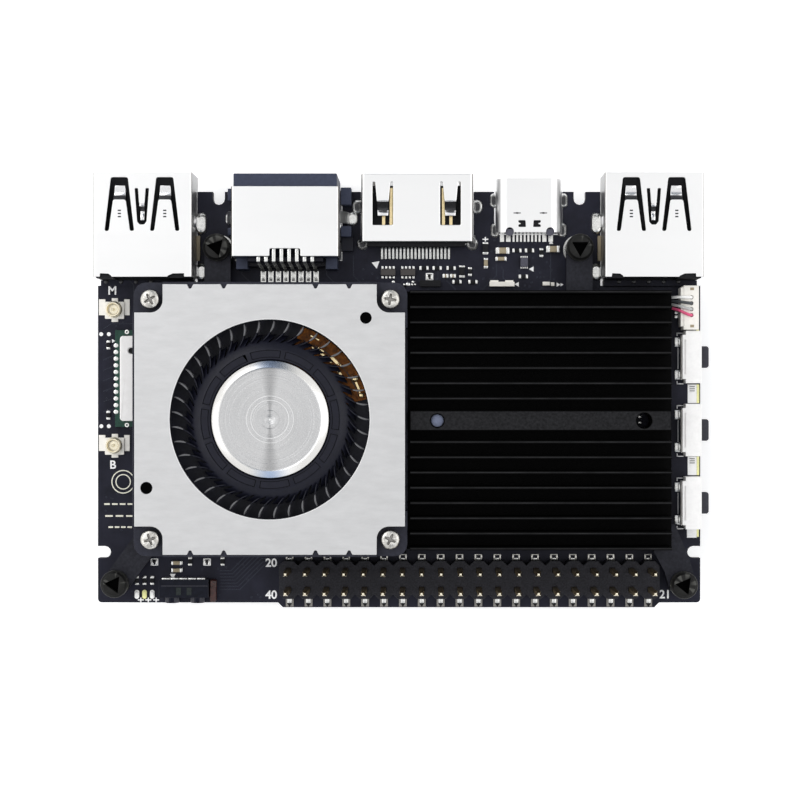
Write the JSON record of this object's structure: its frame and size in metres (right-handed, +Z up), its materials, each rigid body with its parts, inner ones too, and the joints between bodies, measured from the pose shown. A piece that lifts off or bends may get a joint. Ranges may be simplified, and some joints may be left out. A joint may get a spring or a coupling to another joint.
{
  "type": "single board computer",
  "caption": "Single board computer: dark board with sunk USB, network, display and power sockets, a pin header, side buttons and a black finned heatsink with a flat fan.",
  "frame": {"origin": "middle of the overall outline seen from above, on the plane of the four standoffs' feet", "axes": "+X along the pin header towards the push buttons, +Y towards the sockets, +Z up from the board"},
  "size_m": [0.082, 0.058, 0.0141],
  "materials": {
    "solder_mask": "near-black solder mask on glass-epoxy laminate, satin gloss",
    "tinned_steel": "thin stamped and tinned steel, fine rolled grain",
    "brushed_aluminium": "silver sheet and turned aluminium, satin",
    "black_anodised": "black anodised, fine matt blast",
    "black_plastic": "black moulded plastic",
    "blue_grey_plastic": "blue-grey moulded plastic",
    "cream_plastic": "off-white moulded plastic",
    "gold": "gold-plated contacts",
    "nickel": "nickel-plated fasteners",
    "grey_silicone": "soft grey thermal pad",
    "green_laminate": "green module laminate",
    "chip_resin": "black chip moulding compound",
    "flex_laminate": "orange-brown polyimide circuit",
    "ferrite": "dark sintered magnet and laminated core",
    "smoked_resin": "smoked dark epoxy",
    "grey_plastic": "mid-grey moulded plastic",
    "cable_sleeve": "thin plastic-insulated wires"
  },
  "bodies": {
    "board": {"antenna_socket_main": "gold", "antenna_socket_second": "gold", "button_body_1": "cream_plastic", "button_body_2": "cream_plastic", "button_body_3": "cream_plastic", "card_socket": "tinned_steel", "ethernet_body": "blue_grey_plastic", "ethernet_contacts": "gold", "ethernet_shield": "tinned_steel", "fan_bearing": "gold", "fan_cable": "cable_sleeve", "fan_circuit_board": "flex_laminate", "fan_connector": "cream_plastic", "fan_cover": "brushed_aluminium", "fan_housing": "black_plastic", "fan_screw_1": "nickel", "fan_screw_2": "nickel", "fan_screw_3": "nickel", "fan_screw_4": "nickel", "fan_stator": "ferrite", "flex_connector": "cream_plastic", "hdmi_contacts": "gold", "hdmi_insulator": "black_plastic", "hdmi_shell": "tinned_steel", "header_base": "black_plastic", "header_pins": "gold", "heatsink": "black_anodised", "ir_receiver": "smoked_resin", "m2_socket": "black_plastic", "memory_chip": "chip_resin", "mount_bolt_1": "black_anodised", "mount_bolt_2": "black_anodised", "mount_bolt_3": "black_anodised", "mount_bolt_4": "black_anodised", "pcb": "solder_mask", "soc": "chip_resin", "standoff_1": "nickel", "standoff_2": "nickel", "standoff_3": "nickel", "standoff_4": "nickel", "storage_chip": "chip_resin", "thermal_pad": "grey_silicone", "usb_c_shell": "tinned_steel", "usb_c_tongue": "black_plastic", "usb_left_contacts": "gold", "usb_left_insulator": "black_plastic", "usb_left_shell": "tinned_steel", "usb_right_contacts": "gold", "usb_right_insulator": "black_plastic", "usb_right_shell": "tinned_steel", "wifi_board": "green_laminate", "wifi_shield": "tinned_steel"},
    "fan_rotor": {"fan_blades": "black_plastic", "fan_hub_cup": "brushed_aluminium", "fan_magnet": "ferrite", "fan_shaft": "tinned_steel"},
    "button_1": {"button_plunger_1": "grey_plastic"},
    "button_2": {"button_plunger_2": "grey_plastic"},
    "button_3": {"button_plunger_3": "grey_plastic"},
    "latch": {"flex_latch": "black_plastic"}
  },
  "joints": [
    {"name": "fan_spin", "type": "hinge", "parent": "board", "child": "fan_rotor", "pos_m": [-0.01728, -0.00364, 0.0101], "axis": [0, 0, 1], "continuous": true},
    {"name": "button_press_1", "type": "slide", "parent": "board", "child": "button_1", "axis": [-1, 0, 0], "range_m": [0, 0.00025], "stiffness_N_per_m": 2000},
    {"name": "button_press_2", "type": "slide", "parent": "board", "child": "button_2", "axis": [-1, 0, 0], "range_m": [0, 0.00025], "stiffness_N_per_m": 2000},
    {"name": "button_press_3", "type": "slide", "parent": "board", "child": "button_3", "axis": [-1, 0, 0], "range_m": [0, 0.00025], "stiffness_N_per_m": 2000},
    {"name": "latch_flip", "type": "hinge", "parent": "board", "child": "latch", "pos_m": [0.0185, 0.0079, 0.00275], "axis": [-1, 0, 0], "range_deg": [0, 90]}
  ]
}
